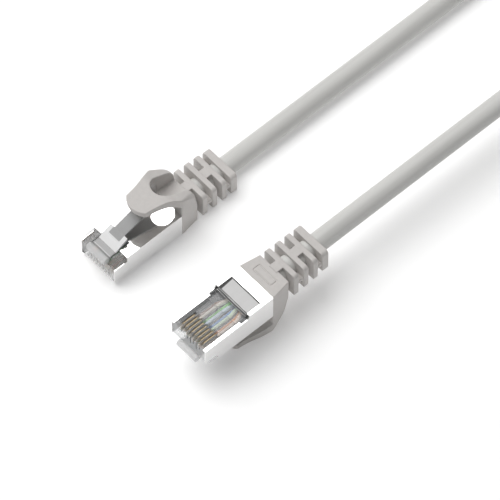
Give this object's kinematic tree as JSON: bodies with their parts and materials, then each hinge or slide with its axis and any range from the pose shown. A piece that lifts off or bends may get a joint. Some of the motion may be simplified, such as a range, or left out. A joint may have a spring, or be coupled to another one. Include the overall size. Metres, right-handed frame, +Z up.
{
  "type": "ethernet patch cable",
  "caption": "Short shielded ethernet patch cable in a loose loop, with clear latched plugs, folded metal shields and snagless boots with slotted strain reliefs.",
  "frame": {"origin": "centre of the bounding box's bottom face", "axes": "+Y runs along both plug ends from the noses towards the loop, +Z is up from the surface it lies on, +X runs from end A to end B"},
  "size_m": [0.081, 0.2282, 0.0156],
  "materials": {
    "clear_plastic": "clear polycarbonate",
    "gold_contact": "gold plated, bright",
    "shield_metal": "nickel plated sheet, polished",
    "boot_plastic": "moulded soft vinyl, satin",
    "jacket_plastic": "extruded vinyl, satin",
    "foil_metal": "laminated foil",
    "tinned_copper": "tinned",
    "copper": "bare copper",
    "wire_white_orange": "extruded polyethylene",
    "wire_orange": "extruded polyethylene",
    "wire_white_green": "extruded polyethylene",
    "wire_blue": "extruded polyethylene",
    "wire_white_blue": "extruded polyethylene",
    "wire_green": "extruded polyethylene",
    "wire_white_brown": "extruded polyethylene",
    "wire_brown": "extruded polyethylene"
  },
  "bodies": {
    "cable_run": {"jacket": "jacket_plastic", "foil": "foil_metal", "drain_wire": "tinned_copper", "wire_white_orange": "wire_white_orange", "wire_orange": "wire_orange", "wire_white_green": "wire_white_green", "wire_blue": "wire_blue", "wire_white_blue": "wire_white_blue", "wire_green": "wire_green", "wire_white_brown": "wire_white_brown", "wire_brown": "wire_brown", "copper_cores": "copper"},
    "end_a": {"plug_housing_a": "clear_plastic", "contact_blades_a": "gold_contact", "wire_guide_a": "clear_plastic", "shield_shell_a": "shield_metal", "boot_a": "boot_plastic", "jacket_end_a": "jacket_plastic", "foil_end_a": "foil_metal", "drain_wire_end_a": "tinned_copper", "wire_white_orange_end_a": "wire_white_orange", "wire_orange_end_a": "wire_orange", "wire_white_green_end_a": "wire_white_green", "wire_blue_end_a": "wire_blue", "wire_white_blue_end_a": "wire_white_blue", "wire_green_end_a": "wire_green", "wire_white_brown_end_a": "wire_white_brown", "wire_brown_end_a": "wire_brown", "copper_cores_end_a": "copper"},
    "catch_a": {"latch_a": "clear_plastic"},
    "hood_a": {"thumb_lever_a": "boot_plastic"},
    "end_b": {"plug_housing_b": "clear_plastic", "contact_blades_b": "gold_contact", "wire_guide_b": "clear_plastic", "shield_shell_b": "shield_metal", "boot_b": "boot_plastic", "jacket_end_b": "jacket_plastic", "foil_end_b": "foil_metal", "drain_wire_end_b": "tinned_copper", "wire_white_orange_end_b": "wire_white_orange", "wire_orange_end_b": "wire_orange", "wire_white_green_end_b": "wire_white_green", "wire_blue_end_b": "wire_blue", "wire_white_blue_end_b": "wire_white_blue", "wire_green_end_b": "wire_green", "wire_white_brown_end_b": "wire_white_brown", "wire_brown_end_b": "wire_brown", "copper_cores_end_b": "copper"},
    "catch_b": {"latch_b": "clear_plastic"},
    "hood_b": {"thumb_lever_b": "boot_plastic"}
  },
  "joints": [
    {"name": "cable_bend_a", "type": "hinge", "parent": "cable_run", "child": "end_a", "pos_m": [-0.01715, -0.06559, 0.0033], "axis": [0, 0, 1], "range_deg": [-25, 13], "stiffness_Nm_per_rad": 0.004},
    {"name": "hood_press_a", "type": "hinge", "parent": "end_a", "child": "hood_a", "pos_m": [-0.01715, -0.08749, 0.0102], "axis": [1, 0, 0], "range_deg": [0, 20], "stiffness_Nm_per_rad": 0.012},
    {"name": "latch_flex_a", "type": "hinge", "parent": "end_a", "child": "catch_a", "pos_m": [-0.01715, -0.11059, 0.0071], "axis": [1, 0, 0], "range_deg": [-8, 0]},
    {"name": "cable_bend_b", "type": "hinge", "parent": "cable_run", "child": "end_b", "pos_m": [0.01715, -0.06809, 0.0123], "axis": [0, 0, 1], "range_deg": [-13, 25], "stiffness_Nm_per_rad": 0.004},
    {"name": "hood_press_b", "type": "hinge", "parent": "end_b", "child": "hood_b", "pos_m": [0.01715, -0.08999, 0.0054], "axis": [-1, 0, 0], "range_deg": [0, 20], "stiffness_Nm_per_rad": 0.012},
    {"name": "latch_flex_b", "type": "hinge", "parent": "end_b", "child": "catch_b", "pos_m": [0.01715, -0.11309, 0.0085], "axis": [-1, 0, 0], "range_deg": [-8, 0]}
  ],
  "couplings": [
    {"joint": "latch_flex_a", "follows": "hood_press_a", "ratio": -0.4},
    {"joint": "latch_flex_b", "follows": "hood_press_b", "ratio": -0.4}
  ]
}
